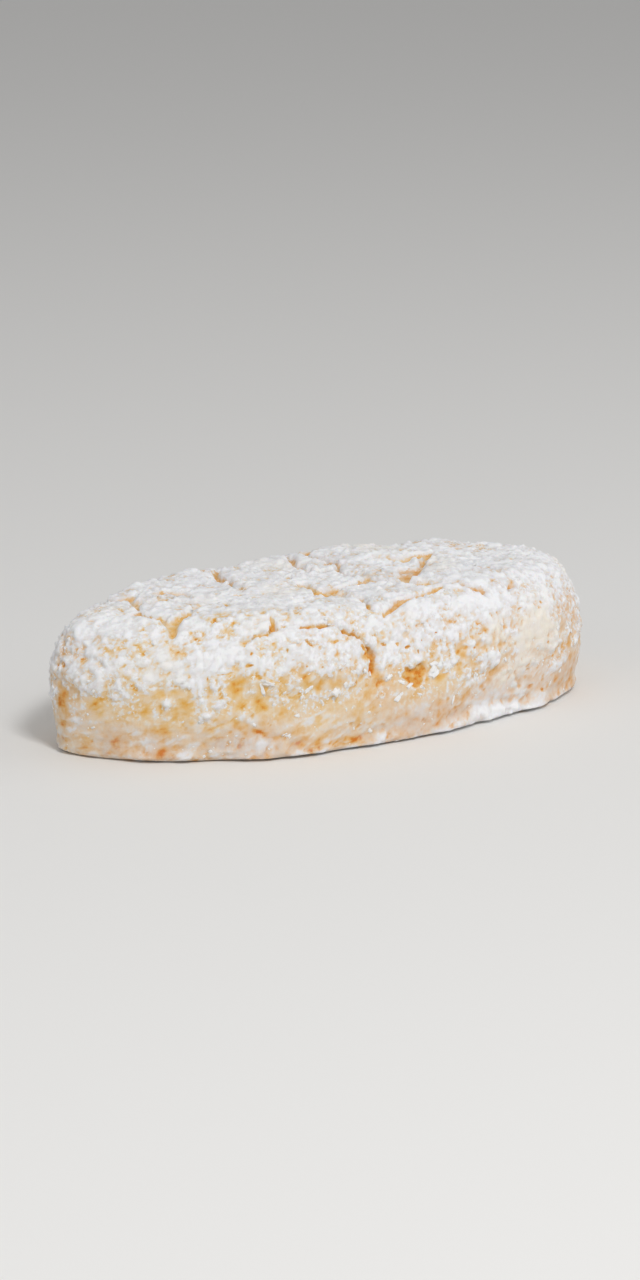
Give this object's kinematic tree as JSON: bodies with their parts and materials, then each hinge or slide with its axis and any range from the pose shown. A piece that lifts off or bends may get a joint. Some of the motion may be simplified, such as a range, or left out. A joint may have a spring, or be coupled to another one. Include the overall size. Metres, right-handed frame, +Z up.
{
  "type": "ricciarelli cookie",
  "caption": "Soft almond cookie: an oval slab with a flat base, bulging sides and a cracked crust of icing sugar over golden paste.",
  "frame": {"origin": "middle of the flat base, on the surface that the cookie rests on", "axes": "+X along the cookie's length, +Y across it to the back, +Z up through its thickness"},
  "size_m": [0.082, 0.041, 0.0195],
  "materials": {
    "sugared_paste": "matt caked icing sugar, white to cream, over soft golden almond paste that shows in cracks, pits and bare patches; no gloss"
  },
  "bodies": {
    "root": {"cookie": "sugared_paste"}
  },
  "joints": []
}
